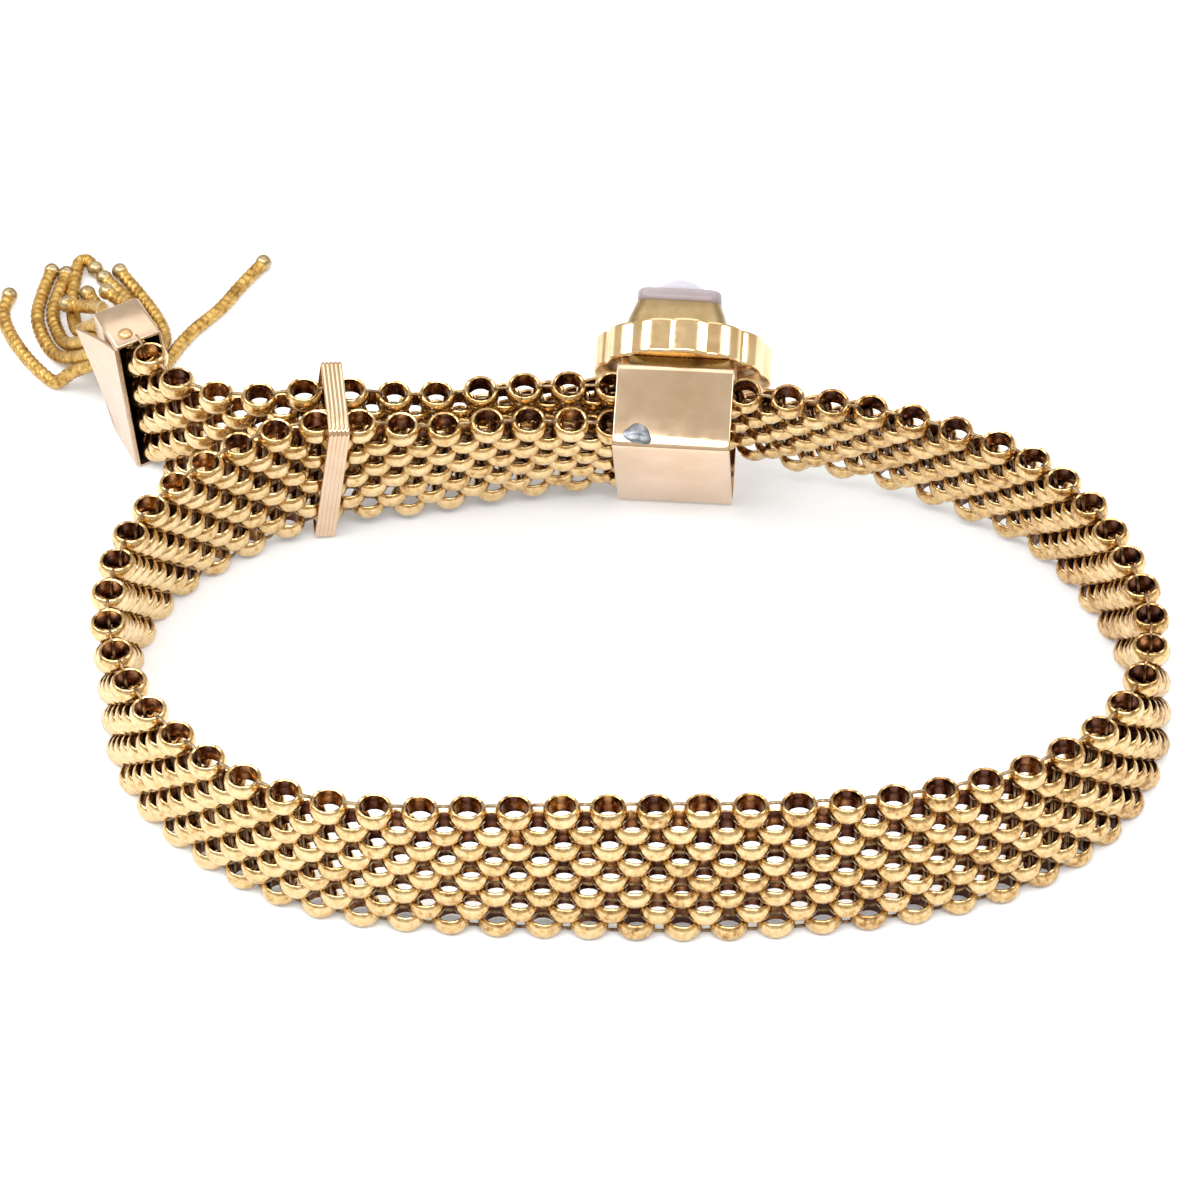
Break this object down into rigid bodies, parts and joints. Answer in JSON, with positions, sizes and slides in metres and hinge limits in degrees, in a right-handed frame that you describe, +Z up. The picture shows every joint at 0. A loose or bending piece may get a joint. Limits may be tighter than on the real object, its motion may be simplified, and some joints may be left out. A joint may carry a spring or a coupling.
{
  "type": "mesh bracelet",
  "caption": "Slide bracelet of woven ring mesh, with a box slide that carries a stone in a lobed rosette, a keeper, an end cap and a chain tassel.",
  "frame": {"origin": "middle of the bounding box, on the surface that the bracelet stands on", "axes": "+Z up, across the strap's width; +Y from the front of the loop to the slide at the back; +X to the right as seen from the front"},
  "size_m": [0.0825, 0.0705, 0.0152],
  "materials": {
    "mesh_gold": "polished yellow gold with a worn patina",
    "rose_gold": "polished rosy gold",
    "stone": "polished pale grey stone",
    "chain_gold": "matte yellow gold"
  },
  "bodies": {
    "root": {"mesh_band": "mesh_gold", "slide": "rose_gold", "stone": "stone", "keeper": "rose_gold", "end_cap": "rose_gold", "tassel": "chain_gold"}
  },
  "joints": []
}
